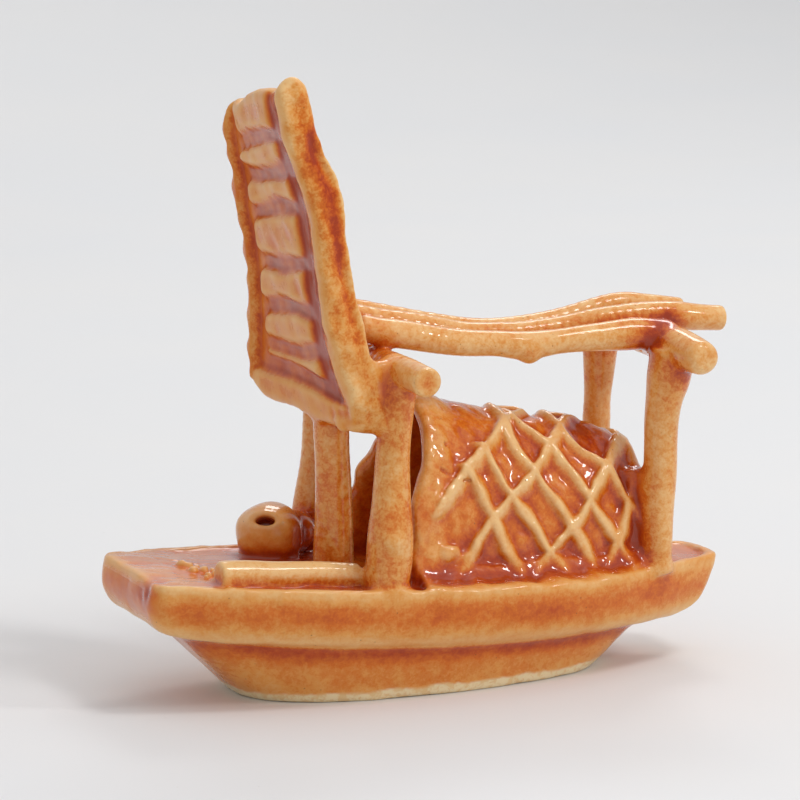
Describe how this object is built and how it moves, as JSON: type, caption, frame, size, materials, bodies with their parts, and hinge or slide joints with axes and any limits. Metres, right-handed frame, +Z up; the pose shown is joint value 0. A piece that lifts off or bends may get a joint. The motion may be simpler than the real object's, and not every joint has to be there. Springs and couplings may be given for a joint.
{
  "type": "miniature boat",
  "caption": "Glazed ceramic miniature sampan: two-tier hull, lattice cabin canopy, poles on a post rack, slatted leaning sail, jar and log on deck.",
  "frame": {"origin": "middle of the whole model's outline seen from above, on the surface that the flat foot stands on", "axes": "+X towards the stern, +Y across the boat to the side away from the sail's tall edge, +Z up"},
  "size_m": [0.066, 0.0326, 0.0648],
  "materials": {
    "cream_glaze": "glossy thin glaze, cream over raised edges",
    "caramel_glaze": "glossy caramel glaze, redder in hollows",
    "amber_glaze": "thick glossy red-amber glaze, pooled"
  },
  "bodies": {
    "root": {"bow_crossbeam": "cream_glaze", "canopy_lattice": "cream_glaze", "canopy_sheet": "amber_glaze", "deck_log": "cream_glaze", "deck_slab": "caramel_glaze", "far_bow_post": "cream_glaze", "far_rail": "cream_glaze", "far_stern_post": "cream_glaze", "glaze_pool_canopy": "amber_glaze", "glaze_pool_log": "amber_glaze", "glaze_web_sail": "amber_glaze", "glaze_web_stern": "amber_glaze", "jar": "caramel_glaze", "lower_hull": "caramel_glaze", "mast_post": "cream_glaze", "middle_rail": "cream_glaze", "near_bow_post": "cream_glaze", "near_rail": "cream_glaze", "near_stern_post": "cream_glaze", "sail_backing": "caramel_glaze", "sail_batten_1": "cream_glaze", "sail_batten_2": "cream_glaze", "sail_batten_3": "cream_glaze", "sail_batten_4": "cream_glaze", "sail_batten_5": "cream_glaze", "sail_batten_6": "cream_glaze", "sail_batten_7": "cream_glaze", "sail_bottom_border": "cream_glaze", "sail_far_border": "cream_glaze", "sail_near_border": "cream_glaze", "sail_top_border": "cream_glaze", "stern_crossbeam": "cream_glaze", "upper_hull": "caramel_glaze"}
  },
  "joints": []
}
